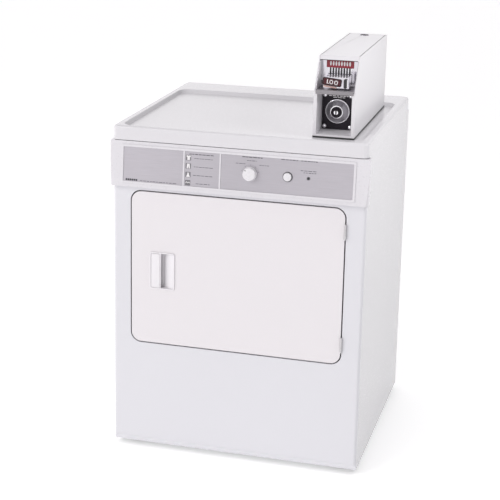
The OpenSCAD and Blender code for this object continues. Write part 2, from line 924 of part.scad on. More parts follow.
// Belt: round the drum, over the idler and round the motor pulley
drum_c = [0, drum_z];
drum_line = drum_r + gap + belt_t / 2;
motor_line = motor_pulley_r + gap + belt_t / 2;
idler_line = idler_r + gap + belt_t / 2;
function heading(v) = atan2(v[1], v[0]);
function on_circle(c, r, a) = c + r * [cos(a), sin(a)];
function arc(c, r, a0, a1, n) = [for (i = [0 : n]) on_circle(c, r, a0 + (a1 - a0) * i / n)];
function open_tangent(c1, r1, c2, r2) = heading(c2 - c1) + acos((r1 - r2) / norm(c2 - c1));
function cross_tangent(c1, r1, c2, r2, side) = heading(c2 - c1) + side * acos((r1 + r2) / norm(c2 - c1));
a_tight = open_tangent(drum_c, drum_line, motor, motor_line);
a_drum = cross_tangent(drum_c, drum_line, idler, idler_line, -1);
a_idler = cross_tangent(idler, idler_line, motor, motor_line, 1);

function belt_outline(o) = concat(
    arc(drum_c, drum_line + o, a_tight, a_drum + 360, 90),
    arc(idler, idler_line - o, a_drum + 180, a_idler, 4),
    arc(motor, motor_line + o, a_idler - 180, a_tight, 12)
);

module drive_belt() {
    color(black) along_y(belt_y, belt_y + belt_w) difference() {
        polygon(belt_outline(belt_t / 2));
        polygon(belt_outline(-belt_t / 2));
    }
}

// ---------- Heater and rear fittings ----------

module heater_housing() {
    y0 = rear_bulk_y + sheet;
    color(steel) difference() {
        rod_y(y0, heater_back_y, heater_r, 0, drum_z);
        rod_y(y0 - 1, heater_back_y + 1, 60, 0, drum_z);
        tube_y(y0 - 1, heater_back_y - sheet, heater_r - sheet, 60 + sheet, 0, drum_z);
        for (x = [110, 150]) rod_y(heater_back_y - 3, heater_back_y + 1, 6, x, drum_z);
    }
}

// Two ring elements joined at the left, with terminals on the right
module heating_element() {
    tube_r = 4;
    y = 250;
    color("firebrick") {
        for (r = [110, 150]) {
            translate([0, y, drum_z]) rotate([-90, 0, 0]) rotate_extrude($fn = 96)
                translate([r, 0]) circle(tube_r, $fn = 24);
            rod_y(y, heater_back_y + 14, 3, r, drum_z);
        }
        translate([-150, y, drum_z]) rotate([0, 90, 0]) cylinder(h = 40, r = 3);
    }
}

module terminal_cover() {
    w = 104;
    h = 140;
    t = 1.5;
    color(steel) difference() {
        along_y(back_y, back_y + 13) translate([cover_x, cover_z]) round_rect(w, h, 5);
        along_y(back_y - 1, back_y + 13 - t) translate([cover_x, cover_z])
            round_rect(w - 2 * t, h - 2 * t, 4);
    }
}

// ---------- Coin meter ----------

module meter_gasket() {
    l = meter_back_y - meter_y;
    color(black) translate([meter_x, meter_y + l / 2, deck_z]) linear_extrude(gasket_t) difference() {
        square([meter_w, l], center = true);
        square([meter_w - 16, l - 16], center = true);
    }
}

// Case with a tapered pocket for the vault door, an open slanted front and an open top
module meter_case() {
    x0 = meter_x - meter_w / 2;
    x1 = meter_x + meter_w / 2;
    ledge = 3.5;
    lid_z = case_top - lid_t;
    color(white) {
        difference() {
            along_x(x0, x1) polygon([
                [meter_y, case_z], [meter_y, break_z], [slant_y, case_top],
                [meter_back_y, case_top], [meter_back_y, case_z]
            ]);
            span([x0 + case_t, pocket_y, case_z + case_t],
                 [x1 - case_t, meter_back_y - case_t, lid_z - case_t]);
            span([x0 + case_t + ledge, pocket_y, lid_z - case_t - 1],
                 [x1 - case_t - ledge, meter_back_y - case_t - ledge, case_top + 1]);
            span([x0 + case_t, meter_y - 1, lid_z], [x1 - case_t, meter_back_y - case_t, case_top + 1]);
            span([x0 + case_t, meter_y - 1, break_z], [x1 - case_t, pocket_y + 1, case_top + 1]);
            hull() {
                along_y(pocket_y - 0.1, pocket_y + 1) translate([meter_x, vault_z])
                    square([plate_w + 1.6, plate_h + 1.6], center = true);
                along_y(meter_y - 1, meter_y) translate([meter_x, vault_z])
                    square([meter_w - 17, meter_front_h - 10], center = true);
            }
        }
        for (s = [-1, 1]) {
            span([meter_x + s * 32 - 9, pocket_y, case_z + case_t],
                 [meter_x + s * 32 + 9, -40, vault_z - 45.4]);
        }
    }
}

module vault_drawer() {
    w = 75;
    h = 88;
    t = 1.5;
    y0 = pocket_y - 0.5;
    z0 = vault_z - 45;
    color(steel) difference() {
        span([meter_x - w / 2, y0, z0], [meter_x + w / 2, -42, z0 + h]);
        span([meter_x - w / 2 + t, y0 + t, z0 + t], [meter_x + w / 2 - t, -42 - t, z0 + h + 1]);
        rod_y(y0 - 1, y0 + t + 1, lock_r + 2, meter_x, vault_z);
    }
}

module lock_plate() {
    y0 = pocket_y - 4;
    color(black) difference() {
        along_y(y0, pocket_y - 0.5) translate([meter_x, vault_z]) round_rect(plate_w, plate_h, 3);
        rod_y(y0 - 1, pocket_y, lock_r + run_fit, meter_x, vault_z);
    }
}

// Conical escutcheon round the lock cylinder
module lock_ring() {
    y0 = pocket_y - 4;
    r = ring_d / 2;
    color(chrome) translate([meter_x, y0, vault_z]) rotate([90, 0, 0]) rotate_extrude() polygon([
        [lock_r + run_fit, 0], [r, 0], [r, 2.5], [r - 2, 4], [18, 12], [17, 13.5], [lock_r + run_fit, 13.5]
    ]);
}

module lock_cylinder() {
    y0 = pocket_y - 26;
    color(black) {
        difference() {
            union() {
                rod_y(y0 + 1.5, pocket_y + 14, lock_r, meter_x, vault_z);
                translate([meter_x, y0, vault_z]) rotate([-90, 0, 0])
                    cylinder(h = 1.5, r1 = lock_r - 1.5, r2 = lock_r);
            }
            tube_y(y0 - 1, y0 + 2, 9, 6, meter_x, vault_z);
            span([meter_x - 1.2, y0 - 1, vault_z - 5], [meter_x + 1.2, y0 + 7, vault_z + 5]);
        }
        span([meter_x - 7, pocket_y + 11, vault_z], [meter_x + 7, pocket_y + 14, vault_z + 30]);
    }
}

// Chrome liner of the upper opening, with the guide of the coin slide behind it
module coin_chute() {
    x0 = meter_x - meter_w / 2 + case_t;
    x1 = meter_x + meter_w / 2 - case_t;
    top_z = case_top - lid_t - 4;
    cheek_t = 1.2;
    slot_span = slot_pitch * (coin_slots - 1);
    color(chrome) difference() {
        union() {
            span([x0, meter_y + 1, break_z], [x1, chute_y, break_z + 2.5]);
            span([x0, chute_y, break_z], [x1, chute_y + 3, top_z]);
            span([x0 + 13, chute_y + 3, slide_z - 6], [x1 - 13, chute_back_y, slide_z + slide_h + 6]);
            span([x0, meter_y + 1, break_z + 2.5], [x1, meter_y + 4, break_z + 5]);
            for (x = [x0, x1 - cheek_t]) along_x(x, x + cheek_t) polygon([
                [meter_y + 2, break_z], [slant_y - 6, top_z - 5], [chute_y + 1, top_z - 5], [chute_y + 1, break_z]
            ]);
        }
        span([meter_x - slide_w / 2 - gap, chute_y - 1, slide_z - gap],
             [meter_x + slide_w / 2 + gap, chute_back_y - 3, slide_z + slide_h + gap]);
        for (i = [0 : coin_slots - 1]) {
            x = meter_x - slot_span / 2 + i * slot_pitch;
            span([x - slot_w / 2 - 0.5, chute_y - 1, slide_z + slide_h],
                 [x + slot_w / 2 + 0.5, chute_y + 2, slide_z + slide_h + 16]);
        }
    }
}

module coin_slide() {
    slot_span = slot_pitch * (coin_slots - 1);
    color(chrome) difference() {
        union() {
            span([meter_x - slide_w / 2, slide_front_y, slide_z],
                 [meter_x + slide_w / 2, -112, slide_z + slide_h]);
            span([meter_x - slide_w / 2 - 2.5, slide_front_y - 4, slide_z - 3],
                 [meter_x + slide_w / 2 + 2.5, slide_front_y, slide_z + slide_h]);
        }
        for (i = [0 : coin_slots - 1]) {
            x = meter_x - slot_span / 2 + i * slot_pitch;
            span([x - slot_w / 2, slide_front_y + 4, slide_z + 8],
                 [x + slot_w / 2, slide_front_y + 30, slide_z + slide_h + 1]);
        }
    }
}

// Lid that lies between the side walls, with a lip down the slant
module service_lid() {
    x0 = meter_x - meter_w / 2 + case_t + gap;
    x1 = meter_x + meter_w / 2 - case_t - gap;
    z0 = case_top - lid_t;
    run = [0.5277, 0.8498] * 12;
    color(white) difference() {
        along_x(x0, x1) polygon([
            [slant_y, case_top], [slant_y - run[0], case_top - run[1]],
            [slant_y - run[0] + 3, case_top - run[1]], [slant_y + 0.2, z0],
            [meter_back_y - case_t - gap, z0], [meter_back_y - case_t - gap, case_top]
        ]);
        translate([lid_lock_x, lid_lock_y, z0 - 1]) cylinder(h = 9, r = lid_lock_r + run_fit);
    }
}

module lid_lock() {
    color(black) translate([lid_lock_x, lid_lock_y, 0]) difference() {
        union() {
            translate([0, 0, case_top - 14]) cylinder(h = 15, r = lid_lock_r);
            translate([0, 0, case_top]) cylinder(h = 1.5, r = lid_lock_r + 1.5);
            translate([-4, -26, case_top - 17]) cube([8, 30, 3]);
        }
        translate([-1, -4, case_top - 5]) cube([2, 8, 10]);
    }
}

base_pan();
leg_front_left();
leg_front_right();
leg_rear_left();
leg_rear_right();
side_panel_left();
side_panel_right();
rear_panel();
front_panel();
top_panel();
console_panel();
fascia();
fascia_frame();
control_switches();
selector_knob();
start_button();
indicator_lens();
door_outer();
door_inner();
door_seal();
handle_cup();
door_strike();
door_catch();
hinge_frame_leaves();
hinge_door_leaves();
door_switch();
switch_plunger();
front_bulkhead();
front_felt();
rear_bulkhead();
rear_bearing();
drum_shell();
drum_back();
drum_baffles();
drum_shaft();
lint_filter();
air_duct();
blower_housing();
blower_wheel();
motor_housing();
motor_bracket();
motor_shaft();
idler_arm();
idler_pulley();
drive_belt();
heater_housing();
heating_element();
exhaust_duct();
terminal_cover();
panel_screws();
meter_gasket();
meter_case();
vault_drawer();
lock_plate();
lock_ring();
lock_cylinder();
coin_chute();
coin_slide();
service_lid();
lid_lock();
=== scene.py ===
import json
import math
import random

import bmesh
import bpy
from mathutils import Matrix, Vector


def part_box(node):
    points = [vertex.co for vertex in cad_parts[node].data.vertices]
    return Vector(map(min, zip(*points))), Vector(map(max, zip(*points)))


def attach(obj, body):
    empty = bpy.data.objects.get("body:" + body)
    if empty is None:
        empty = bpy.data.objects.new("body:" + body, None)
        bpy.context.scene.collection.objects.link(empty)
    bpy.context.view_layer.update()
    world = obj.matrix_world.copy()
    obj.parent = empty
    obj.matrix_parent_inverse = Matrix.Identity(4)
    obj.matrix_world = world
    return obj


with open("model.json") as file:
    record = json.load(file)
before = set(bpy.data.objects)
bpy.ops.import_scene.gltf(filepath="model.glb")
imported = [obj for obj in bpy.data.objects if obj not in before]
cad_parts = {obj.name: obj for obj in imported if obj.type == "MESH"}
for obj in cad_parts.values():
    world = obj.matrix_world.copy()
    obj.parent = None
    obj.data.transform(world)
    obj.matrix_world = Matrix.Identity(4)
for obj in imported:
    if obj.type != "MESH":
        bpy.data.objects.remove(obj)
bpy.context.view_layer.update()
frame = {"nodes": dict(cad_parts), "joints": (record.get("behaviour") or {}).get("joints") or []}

MM = 0.001
NODES = frame["nodes"]
JOINTS = {joint["name"]: joint for joint in frame["joints"]}

CAMERA_PLACE = (0.9421, -3.8608, 1.7231)
CAMERA_TURN = (16.45, 15.12, 0.7)        # azimuth, pitch and roll in degrees
CAMERA_LENS = 104.4                      # mm, on a sensor 36 mm wide
CAMERA_SHIFT = (0.1, -0.1)
FLOOR_GLOW = 0.36                        # lifts the floor to the white of the backdrop

UP = Vector((0, 0, 1))
FRONT = Vector((0, -1, 0))
FLAT = Matrix.Identity(4)                # outlines in X and Y, heights along Z
# Outlines in Y and Z, heights along X
ACROSS = Matrix(((0, 0, 1, 0), (1, 0, 0, 0), (0, 1, 0, 0), (0, 0, 0, 1)))

ALONG_X = (0.03, 1.0, 1.0)               # stretch of a grain that runs along X
WAVE_SCALE = 0.31415                     # scale of a wave texture whose lines are one metre apart
EDGE_ANGLE = math.radians(32)            # edges sharper than this are rounded


# ---------- Camera, floor and lights ----------

def aim(obj, place, azimuth, pitch, roll):
    """Stands obj at place, looking along azimuth, tipped down by pitch and rolled, in degrees."""
    a, p, r = (math.radians(v) for v in (azimuth, pitch, roll))
    ahead = Vector((-math.sin(a) * math.cos(p), math.cos(a) * math.cos(p), -math.sin(p)))
    right = Vector((math.cos(a), math.sin(a), 0))
    up = right.cross(ahead)
    right, up = math.cos(r) * right + math.sin(r) * up, math.cos(r) * up - math.sin(r) * right
    turn = Matrix((right, up, -ahead)).transposed()
    obj.matrix_world = Matrix.Translation(place) @ turn.to_4x4()


def add_camera():
    data = bpy.data.cameras.new("camera")
    data.sensor_width = 36
    data.lens = CAMERA_LENS
    data.shift_x, data.shift_y = CAMERA_SHIFT
    camera = bpy.data.objects.new("camera", data)
    bpy.context.scene.collection.objects.link(camera)
    aim(camera, CAMERA_PLACE, *CAMERA_TURN)
    bpy.context.scene.camera = camera
    bpy.context.scene.view_settings.view_transform = "Standard"


def add_area(name, place, target, size, watts, tint=(1, 1, 1)):
    data = bpy.data.lights.new(name, "AREA")
    data.shape = "RECTANGLE"
    data.size, data.size_y = size
    data.energy = watts
    data.color = tint
    light = bpy.data.objects.new(name, data)
    bpy.context.scene.collection.objects.link(light)
    light.matrix_world = (Matrix.Translation(place)
                          @ (Vector(target) - Vector(place)).to_track_quat("-Z", "Y").to_matrix().to_4x4())


def add_lights():
    """A white surround that falls off to the right and upwards, a key light, and a fill on the right."""
    world = bpy.data.worlds.new("studio")
    world.use_nodes = True
    tree = world.node_tree
    background = tree.nodes["Background"]
    direction = tree.nodes.new("ShaderNodeTexCoord").outputs["Generated"]
    split = tree.nodes.new("ShaderNodeSeparateXYZ")
    tree.links.new(direction, split.inputs[0])
    side = tree.nodes.new("ShaderNodeMapRange")
    side.interpolation_type = "SMOOTHSTEP"
    rise = tree.nodes.new("ShaderNodeMapRange")
    for node, axis, numbers in ((side, "X", (-0.2, 0.8, 1.64, 0.36)), (rise, "Z", (-0.05, 0.7, 1.0, 0.44))):
        for key, value in zip(("From Min", "From Max", "To Min", "To Max"), numbers):
            node.inputs[key].default_value = value
        tree.links.new(split.outputs[axis], node.inputs["Value"])
    both = tree.nodes.new("ShaderNodeMath")
    both.operation = "MULTIPLY"
    tree.links.new(side.outputs[0], both.inputs[0])
    tree.links.new(rise.outputs[0], both.inputs[1])
    tree.links.new(both.outputs[0], background.inputs["Strength"])
    background.inputs["Color"].default_value = (1.0, 0.985, 1.0, 1)
    bpy.context.scene.world = world
    add_area("key", (-2.6, -3.6, 3.2), (0, 0, 0.6), (2.4, 2.0), 60, (1.0, 0.985, 0.98))
    add_area("side_fill", (1.15, -0.3, 1.6), (0.25, 0.0, 1.0), (0.8, 0.6), 7.5)


# ---------- Materials ----------

class Graph:
    """A short way to build a material's nodes."""

    def __init__(self, name):
        self.material = bpy.data.materials.new(name)
        self.material.use_nodes = True
        self.tree = self.material.node_tree
        self.shader = self.tree.nodes["Principled BSDF"]
        self.place = self.add("ShaderNodeTexCoord").outputs["Object"]

    def add(self, kind, **inputs):
        node = self.tree.nodes.new(kind)
        for key, value in inputs.items():
            self.feed(node.inputs[key.replace("_", " ")], value)
        return node

    def feed(self, socket, value):
        if isinstance(value, bpy.types.NodeSocket):
            self.tree.links.new(value, socket)
        else:
            socket.default_value = value

    def noise(self, size, detail=2.0, stretch=(1, 1, 1)):
        """Noise from 0 to 1 whose grain is about size metres."""
        mapping = self.add("ShaderNodeMapping", Vector=self.place, Scale=stretch)
        node = self.add("ShaderNodeTexNoise", Vector=mapping.outputs[0], Scale=1 / size, Detail=detail)
        return node.outputs["Fac"]

    def waves(self, pitch, direction):
        """Wave texture with lines pitch metres apart, in bands across X or Z or in rings about Y."""
        node = self.add("ShaderNodeTexWave", Scale=WAVE_SCALE / pitch)
        if direction == "Y":
            node.wave_type = "RINGS"
            node.rings_direction = direction
        else:
            node.bands_direction = direction
        return node

    def remap(self, value, low, high, to_low, to_high):
        node = self.add("ShaderNodeMapRange", Value=value)
        node.clamp = True
        for key, number in (("From Min", low), ("From Max", high), ("To Min", to_low), ("To Max", to_high)):
            node.inputs[key].default_value = number
        return node.outputs[0]

    def mix(self, factor, a, b):
        node = self.tree.nodes.new("ShaderNodeMix")
        node.data_type = "RGBA"
        for index, value in ((0, factor), (6, a), (7, b)):
            if isinstance(value, tuple):
                value = (*value, 1)
            self.feed(node.inputs[index], value)
        return node.outputs[2]

    def math(self, kind, a, b):
        node = self.tree.nodes.new("ShaderNodeMath")
        node.operation = kind
        self.feed(node.inputs[0], a)
        self.feed(node.inputs[1], b)
        return node.outputs[0]

    def occlusion(self, distance, inside=False):
        """1 in the open, towards 0 in a corner, or on an edge when it looks inside."""
        node = self.add("ShaderNodeAmbientOcclusion", Distance=distance)
        node.samples = 4
        node.inside = inside
        return node.outputs["AO"]

    def bump(self, height, depth, under=None):
        node = self.add("ShaderNodeBump", Height=height, Distance=depth)
        if under is not None:
            self.feed(node.inputs["Normal"], under)
        return node.outputs["Normal"]

    def finish(self, colour=None, rough=None, normal=None, **settings):
        if colour is not None:
            self.feed(self.shader.inputs["Base Color"], colour)
        if rough is not None:
            self.feed(self.shader.inputs["Roughness"], rough)
        if normal is not None:
            self.feed(self.shader.inputs["Normal"], normal)
        for key, value in settings.items():
            self.shader.inputs[key.replace("_", " ")].default_value = value
        return self.material


def shade(colour, k):
    return tuple(min(1.0, c * k) for c in colour)


def enamel(name, colour, rough=0.26, wave=0.000004, coat=0.16, dust_and_shade_strength=0.3):
    """Baked enamel on sheet steel: faint orange peel, slow waves in the sheet, dust and painted shade where
    pieces meet.
    """
    g = Graph(name)
    tone = g.mix(g.noise(0.5, 1), shade(colour, 0.98), shade(colour, 1.01))
    # Darker in corners and where pieces meet: painted shade, with some dust
    dust_and_shade = g.remap(g.occlusion(0.007), 0.15, 0.8, dust_and_shade_strength, 0.0)
    tone = g.mix(dust_and_shade, tone, shade(colour, 0.42))
    edge = g.remap(g.occlusion(0.0008, True), 0.4, 0.9, 1, 0)
    worn = g.math("MULTIPLY", edge, g.remap(g.noise(0.012, 4), 0.5, 0.7, 0, 0.25))
    tone = g.mix(worn, tone, shade(colour, 0.75))
    sheen = g.remap(g.noise(0.0022, 2), 0.3, 0.7, rough - 0.012, rough + 0.016)
    normal = g.bump(g.noise(0.16, 0), 0.00012)
    normal = g.bump(g.noise(0.003, 1), wave, normal)
    return g.finish(tone, sheen, normal, Coat_Weight=coat, Coat_Roughness=0.08, IOR=1.5,
                    Specular_IOR_Level=0.4)


def moulded(name, colour, rough=0.38, grain=0.0009, depth=0.00003, spread=0.08, coat=0.0, gloss=0.5):
    """Moulded plastic: fine spark texture, slightly uneven gloss, rubbed edges."""
    g = Graph(name)
    patches = g.remap(g.noise(0.03, 3), 0.3, 0.7, 0, 1)
    tone = g.mix(patches, shade(colour, 1 - spread / 2), shade(colour, 1 + spread / 2))
    # Darker in corners and where parts meet: painted shade, with some dust
    tone = g.mix(g.remap(g.occlusion(0.004), 0.1, 0.75, 0.35, 0), tone, shade(colour, 0.45))
    rubbed = g.math("MULTIPLY", g.remap(g.occlusion(0.0007, True), 0.4, 0.9, 1, 0),
                    g.remap(g.noise(0.004, 3), 0.4, 0.7, 0, 0.5))
    sheen = g.math("SUBTRACT", g.remap(g.noise(0.006, 4), 0.3, 0.7, rough - 0.05, rough + 0.07),
                   g.math("MULTIPLY", rubbed, 0.2))
    return g.finish(tone, sheen, g.bump(g.noise(grain, 2), depth), Coat_Weight=coat, Coat_Roughness=0.1,
                    Specular_IOR_Level=gloss)


def turned(name, colour, centre):
    """Lathe-turned metal: fine rings about an axis along Y through centre, darkened in noise patches as a
    painted dim reflection.
    """
    g = Graph(name)
    local = g.add("ShaderNodeMapping", Vector=g.place, Location=[-v for v in centre])
    wave = g.waves(0.0011, "Y")
    g.feed(wave.inputs["Vector"], local.outputs[0])
    for key, value in (("Distortion", 0.6), ("Detail", 2.0), ("Detail Scale", 1.5)):
        wave.inputs[key].default_value = value
    rings = wave.outputs["Fac"]
    tone = g.mix(rings, shade(colour, 0.72), shade(colour, 1.15))
    # Darker patches on the ring: painted shade in its reflection
    painted_dim_reflection = g.remap(g.noise(0.03, 3), 0.42, 0.6, 0, 0.75)
    tone = g.mix(painted_dim_reflection, tone, shade(colour, 0.45))
    tone = g.mix(g.remap(g.occlusion(0.0008, True), 0.4, 0.9, 0.6, 0), tone, (0.9, 0.89, 0.9))
    return g.finish(tone, g.remap(rings, 0, 1, 0.28, 0.2), g.bump(rings, 0.00003), Metallic=1.0)


def woven(name, colour):
    """Fine woven screen: two sets of threads that bulge and leave dark gaps."""
    g = Graph(name)
    threads = [g.waves(0.0016, axis) for axis in "XZ"]
    for thread in threads:
        g.feed(thread.inputs["Vector"], g.place)
    weave = g.math("MAXIMUM", *(thread.outputs["Fac"] for thread in threads))
    lint = g.remap(g.noise(0.02, 4), 0.45, 0.75, 0, 0.5)
    tone = g.mix(g.remap(weave, 0.3, 0.9, 0, 1), shade(colour, 0.12), colour)
    tone = g.mix(lint, tone, (0.42, 0.41, 0.40))
    return g.finish(tone, g.remap(weave, 0, 1, 0.7, 0.4), g.bump(weave, 0.0002))


def brushed(name, colour, rough, stretch=ALONG_X):
    """Metal with a fine directional grain, soft stains and polished edges."""
    g = Graph(name)
    lines = g.noise(0.0006, 3, stretch)
    tone = g.mix(g.remap(lines, 0.25, 0.75, 0, 1), shade(colour, 0.88), shade(colour, 1.06))
    tone = g.mix(g.remap(g.noise(0.05, 4), 0.45, 0.75, 0, 0.25), tone, shade(colour, 0.72))
    edge = g.remap(g.occlusion(0.0006, True), 0.4, 0.9, 0.35, 0)
    tone = g.mix(edge, tone, shade(colour, 1.3))
    sheen = g.math("ADD", g.remap(lines, 0.2, 0.8, rough - 0.07, rough + 0.1),
                   g.remap(g.noise(0.03, 3), 0.4, 0.8, 0, 0.08))
    return g.finish(tone, sheen, g.bump(lines, 0.000012), Metallic=1.0)


def galvanised(name, colour):
    """Zinc-coated sheet: spangled crystals with their own tone and gloss."""
    g = Graph(name)
    grains = g.add("ShaderNodeTexVoronoi", Vector=g.place, Scale=1 / 0.011)
    flake = g.add("ShaderNodeSeparateColor", Color=grains.outputs["Color"]).outputs[0]
    tone = g.mix(flake, shade(colour, 0.84), shade(colour, 1.12))
    tone = g.mix(g.remap(g.noise(0.06, 4), 0.5, 0.8, 0, 0.3), tone, shade(colour, 0.62))
    sheen = g.math("ADD", g.remap(flake, 0, 1, 0.28, 0.48), g.remap(g.noise(0.004, 3), 0.3, 0.7, 0, 0.08))
    normal = g.bump(flake, 0.00001)
    normal = g.bump(g.noise(0.001, 3), 0.000012, normal)
    return g.finish(tone, sheen, normal, Metallic=0.95)


def plated(name, colour, rough=0.07):
    """Bright plating: near mirror, with wipe marks, pits and a dulled bloom."""
    g = Graph(name)
    bloom = g.noise(0.025, 4)
    tone = g.mix(g.remap(bloom, 0.45, 0.8, 0, 0.4), colour, shade(colour, 0.78))
    # Darker in corners and recesses: painted shade
    tone = g.mix(g.remap(g.occlusion(0.006), 0.05, 0.8, 0.55, 0), tone, shade(colour, 0.25))
    wipe = g.noise(0.0008, 3, (0.06, 1, 1))
    sheen = g.math("ADD", g.remap(bloom, 0.35, 0.8, rough, rough + 0.12), g.remap(wipe, 0.5, 0.9, 0, 0.08))
    normal = g.bump(g.noise(0.018, 2), 0.00012)
    normal = g.bump(wipe, 0.000004, normal)
    return g.finish(tone, sheen, normal, Metallic=1.0)


def rubber(name, colour, rough):
    """Dull rubber with a dusty bloom."""
    g = Graph(name)
    dusty = g.remap(g.noise(0.03, 5), 0.4, 0.75, 0, 0.35)
    tone = g.mix(dusty, colour, shade(colour, 2.4))
    sheen = g.remap(g.noise(0.005, 3), 0.3, 0.7, rough - 0.06, rough + 0.1)
    return g.finish(tone, sheen, g.bump(g.noise(0.0007, 3), 0.00006), Sheen_Weight=0.15,
                    Specular_IOR_Level=0.35)


def felted(name, colour):
    """Pressed felt: matted fibres, soiled in patches."""
    g = Graph(name)
    fibre = g.noise(0.0012, 6, (1, 0.25, 1))
    tone = g.mix(g.remap(fibre, 0.3, 0.7, 0, 1), shade(colour, 0.7), shade(colour, 1.15))
    tone = g.mix(g.remap(g.noise(0.03, 3), 0.45, 0.8, 0, 0.4), tone, shade(colour, 0.55))
    return g.finish(tone, g.remap(fibre, 0, 1, 0.85, 1.0), g.bump(fibre, 0.0004), Sheen_Weight=0.6,
                    Sheen_Roughness=0.5)


def cast(name, colour, rough=0.6, metal=0.4):
    """Rough cast or scaled metal: pitted, with a little rust."""
    g = Graph(name)
    pits = g.noise(0.0022, 6)
    tone = g.mix(g.remap(pits, 0.3, 0.7, 0, 1), shade(colour, 0.75), shade(colour, 1.2))
    rust = g.remap(g.noise(0.02, 5), 0.6, 0.85, 0, 0.3)
    tone = g.mix(rust, tone, (0.19, 0.10, 0.06))
    sheen = g.remap(pits, 0.3, 0.7, rough - 0.1, rough + 0.15)
    return g.finish(tone, sheen, g.bump(pits, 0.0003), Metallic=metal)


def satin_film(name, colour):
    """Silver film on the fascia: fine metal flake, short brush lines, a slow change of tone along it."""
    g = Graph(name)
    flake = g.noise(0.0007, 2)
    lines = g.noise(0.0009, 3, (0.02, 1, 1))
    tone = g.mix(g.remap(lines, 0.3, 0.7, 0, 1), shade(colour, 0.94), shade(colour, 1.05))
    across = g.add("ShaderNodeSeparateXYZ", Vector=g.place).outputs["X"]
    near_middle = g.remap(g.math("ABSOLUTE", g.math("SUBTRACT", across, 0.03), 0), 0.0, 0.28, 1, 0)
    tone = g.mix(g.math("MULTIPLY", near_middle, 0.35), tone, shade(colour, 0.8))
    tone = g.mix(g.remap(flake, 0.62, 0.8, 0, 0.3), tone, shade(colour, 1.3))
    sheen = g.remap(lines, 0.2, 0.8, 0.32, 0.46)
    return g.finish(tone, sheen, g.bump(lines, 0.000008), Metallic=0.55)


def printed(name, colour, rough=0.5):
    """Screen-printed ink: slightly uneven cover, matt, with a faint edge."""
    g = Graph(name)
    cover = g.noise(0.0011, 4)
    tone = g.mix(g.remap(cover, 0.35, 0.7, 0, 1), shade(colour, 0.86), shade(colour, 1.12))
    return g.finish(tone, g.remap(cover, 0.3, 0.7, rough - 0.08, rough + 0.1), g.bump(cover, 0.00001))


def build_materials():
    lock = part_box("lock_ring")
    lock_centre = ((lock[0].x + lock[1].x) / 2, 0, (lock[0].z + lock[1].z) / 2)
    return {
        "white_enamel": enamel("white_enamel", (0.672, 0.66, 0.685)),
        # The door and front enamels are lighter copies of the white enamel the cabinet shares: painted light
        # on faces that catch more light
        "door_enamel_painted_lit": enamel("door_enamel_painted_lit", (0.742, 0.715, 0.735)),
        "front_enamel_painted_lit": enamel("front_enamel_painted_lit", (0.688, 0.684, 0.718)),
        "white_meter": enamel("white_meter", (0.70, 0.685, 0.71), 0.36, 0.00001, 0.12),
        "white_console": moulded("white_console", (0.675, 0.66, 0.69), 0.3, 0.0016, 0.00001, 0.02, 0.3),
        "white_controls": moulded("white_controls", (0.72, 0.705, 0.73), 0.28, 0.0012, 0.00001, 0.03, 0.4),
        "white_trim": moulded("white_trim", (0.69, 0.675, 0.70), 0.34, 0.0011, 0.00002, 0.03, 0.2),
        # The door trim is a lighter copy of the white trim: painted light
        "door_trim_painted_lit": moulded("door_trim_painted_lit", (0.77, 0.75, 0.775), 0.34, 0.0011, 0.00002, 0.03, 0.2),
        "liner_enamel": enamel("liner_enamel", (0.66, 0.66, 0.68), 0.3, 0.000006, 0.25),
        "fascia_silver": satin_film("fascia_silver", (0.455, 0.435, 0.47)),
        "black_plastic": moulded("black_plastic", (0.022, 0.022, 0.024), 0.42, 0.0009, 0.00004, 0.3),
        "galvanised": galvanised("galvanised", (0.58, 0.59, 0.61)),
        "drum_enamel": enamel("drum_enamel", (0.58, 0.59, 0.61), 0.3, 0.000012, 0.3, 0.45),
        "bright_steel": brushed("bright_steel", (0.62, 0.62, 0.63), 0.26),
        "hinge_zinc": brushed("hinge_zinc", (0.60, 0.59, 0.60), 0.34, (1, 1, 0.05)),
        "chrome_trim": plated("chrome_trim", (0.74, 0.72, 0.77)),
        "black_lock": moulded("black_lock", (0.012, 0.008, 0.014), 0.42, 0.0014, 0.00003, 0.4, 0.0, 0.22),
        "turned_ring": turned("turned_ring", (0.50, 0.49, 0.52), lock_centre),
        "rivet_bright": plated("rivet_bright", (0.93, 0.92, 0.95), 0.16),
        "tray_metal": brushed("tray_metal", (0.30, 0.285, 0.30), 0.24),
        "leg_rubber": rubber("leg_rubber", (0.035, 0.035, 0.038), 0.62),
        "black_rubber": rubber("black_rubber", (0.028, 0.028, 0.03), 0.55),
        "felt": felted("felt", (0.42, 0.36, 0.28)),
        "cast_bearing": cast("cast_bearing", (0.19, 0.19, 0.2)),
        "motor_paint": moulded("motor_paint", (0.045, 0.05, 0.055), 0.45, 0.0016, 0.00005, 0.3),
        "element_sheath": cast("element_sheath", (0.12, 0.09, 0.08), 0.55, 0.5),
        "vault_steel": brushed("vault_steel", (0.52, 0.52, 0.53), 0.33),
        "ink_grey": printed("ink_grey", (0.11, 0.11, 0.125)),
        "ink_dark": printed("ink_dark", (0.05, 0.05, 0.06)),
        "ink_white": printed("ink_white", (0.80, 0.78, 0.79)),
        "tile_grey": moulded("tile_grey", (0.17, 0.165, 0.18), 0.4, 0.0012, 0.00001, 0.06),
        "label_red": moulded("label_red", (0.29, 0.014, 0.032), 0.32, 0.0014, 0.00001, 0.12, 0.2),
        "tag_dark": moulded("tag_dark", (0.022, 0.005, 0.008), 0.3, 0.0014, 0.00001, 0.3, 0.2, 0.3),
        "tag_field": moulded("tag_field", (0.065, 0.008, 0.014), 0.34, 0.0014, 0.00001, 0.2, 0.1, 0.3),
        "tag_band": printed("tag_band", (0.55, 0.36, 0.33), 0.45),
        "bezel_grey": moulded("bezel_grey", (0.14, 0.14, 0.15), 0.34, 0.001, 0.00002, 0.1),
        "screen_mesh": woven("screen_mesh", (0.40, 0.41, 0.43)),
    }


# ---------- Pieces made here ----------

